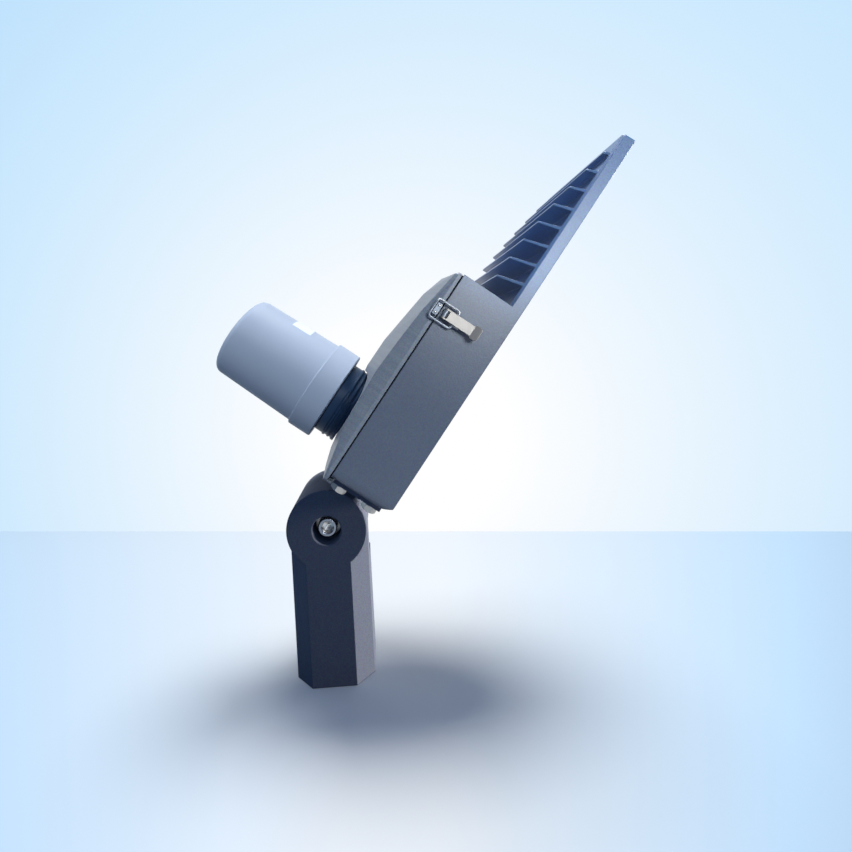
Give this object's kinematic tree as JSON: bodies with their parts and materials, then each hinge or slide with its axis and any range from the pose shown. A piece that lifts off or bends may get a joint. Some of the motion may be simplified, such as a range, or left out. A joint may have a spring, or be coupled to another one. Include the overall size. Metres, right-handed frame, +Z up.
{
  "type": "smart street light",
  "caption": "Tilting LED street light on an octagonal pole sleeve, with a latched driver compartment, cooling fins and a twist-lock controller on the lid.",
  "frame": {"origin": "centre of the pole sleeve's open mouth", "axes": "+Z up along the pole, the head leans towards +X, and the face with the bolt head looks along -Y"},
  "size_m": [0.3792, 0.1914, 0.4747],
  "materials": {
    "sleeve_paint": "dark slate grey fine-textured powder coat on cast aluminium",
    "housing_paint": "dark blue-grey fine-textured powder coat on cast aluminium",
    "lid_paint": "blue-grey powder coat, finely streaked across the side walls",
    "stainless": "plain stainless steel",
    "lever_steel": "bright pressed stainless steel",
    "black_rubber": "matt black silicone rubber",
    "driver_case": "bare extruded aluminium",
    "dark_plastic": "dark moulded plastic",
    "pale_plastic": "off-white moulded plastic",
    "board_white": "white solder mask on an aluminium board",
    "chip_yellow": "yellow phosphor",
    "lens_clear": "clear moulded lens plate",
    "brass": "plain brass",
    "board_green": "green circuit board",
    "node_plastic": "light grey moulded plastic, fine satin"
  },
  "bodies": {
    "sleeve": {"pole_sleeve": "sleeve_paint", "clamp_screws": "stainless", "pivot_bolt": "stainless", "pivot_washers": "stainless", "pivot_nut": "stainless"},
    "head": {"tilt_lug": "sleeve_paint", "flange_bolts": "stainless", "flange_washers": "stainless", "housing": "housing_paint", "wire_grommet": "black_rubber", "led_driver": "driver_case", "driver_screws": "stainless", "surge_protector": "dark_plastic", "terminal_block": "pale_plastic", "led_board": "board_white", "led_chips": "chip_yellow", "lens_gasket": "black_rubber", "lens_plate": "lens_clear", "lens_screws": "stainless", "lid_gasket": "black_rubber", "lid_hinge_pins": "stainless", "latch_base_near": "stainless", "latch_pin_near": "stainless", "latch_base_far": "stainless", "latch_pin_far": "stainless"},
    "lid": {"lid": "lid_paint", "receptacle": "dark_plastic", "receptacle_contacts": "brass", "receptacle_screws": "stainless", "receptacle_gasket": "black_rubber", "latch_keeper_near": "stainless", "latch_keeper_far": "stainless"},
    "controller": {"controller_base": "node_plastic", "controller_prongs": "brass", "controller_board": "board_green", "controller_cap": "node_plastic"},
    "lever_near": {"latch_lever_near": "lever_steel"},
    "bail_near": {"latch_bail_near": "stainless"},
    "lever_far": {"latch_lever_far": "lever_steel"},
    "bail_far": {"latch_bail_far": "stainless"}
  },
  "joints": [
    {"name": "tilt", "type": "hinge", "parent": "sleeve", "child": "head", "pos_m": [0, 0, 0.144], "axis": [0, -1, 0], "range_deg": [-53.4, 36.6]},
    {"name": "lid_open", "type": "hinge", "parent": "head", "child": "lid", "pos_m": [0.00985, 0, 0.20121], "axis": [0, -1, 0], "range_deg": [0, 80]},
    {"name": "lever_near_turn", "type": "hinge", "parent": "head", "child": "lever_near", "pos_m": [0.11231, -0.089, 0.33363], "axis": [-0.5962, 0, -0.8028], "range_deg": [0, 110]},
    {"name": "bail_near_turn", "type": "hinge", "parent": "lever_near", "child": "bail_near", "pos_m": [0.11985, -0.089, 0.32803], "axis": [-0.5962, 0, -0.8028], "range_deg": [-150, 0]},
    {"name": "lever_far_turn", "type": "hinge", "parent": "head", "child": "lever_far", "pos_m": [0.11231, 0.089, 0.33363], "axis": [0.5962, 0, 0.8028], "range_deg": [0, 110]},
    {"name": "bail_far_turn", "type": "hinge", "parent": "lever_far", "child": "bail_far", "pos_m": [0.11985, 0.089, 0.32803], "axis": [0.5962, 0, 0.8028], "range_deg": [-150, 0]},
    {"name": "controller_twist", "type": "hinge", "parent": "lid", "child": "controller", "pos_m": [0.01064, 0, 0.26315], "axis": [-0.8028, 0, 0.5962], "range_deg": [0, 35]}
  ],
  "couplings": [
    {"joint": "bail_near_turn", "follows": "lever_near_turn", "ratio": -1},
    {"joint": "bail_far_turn", "follows": "lever_far_turn", "ratio": -1}
  ]
}
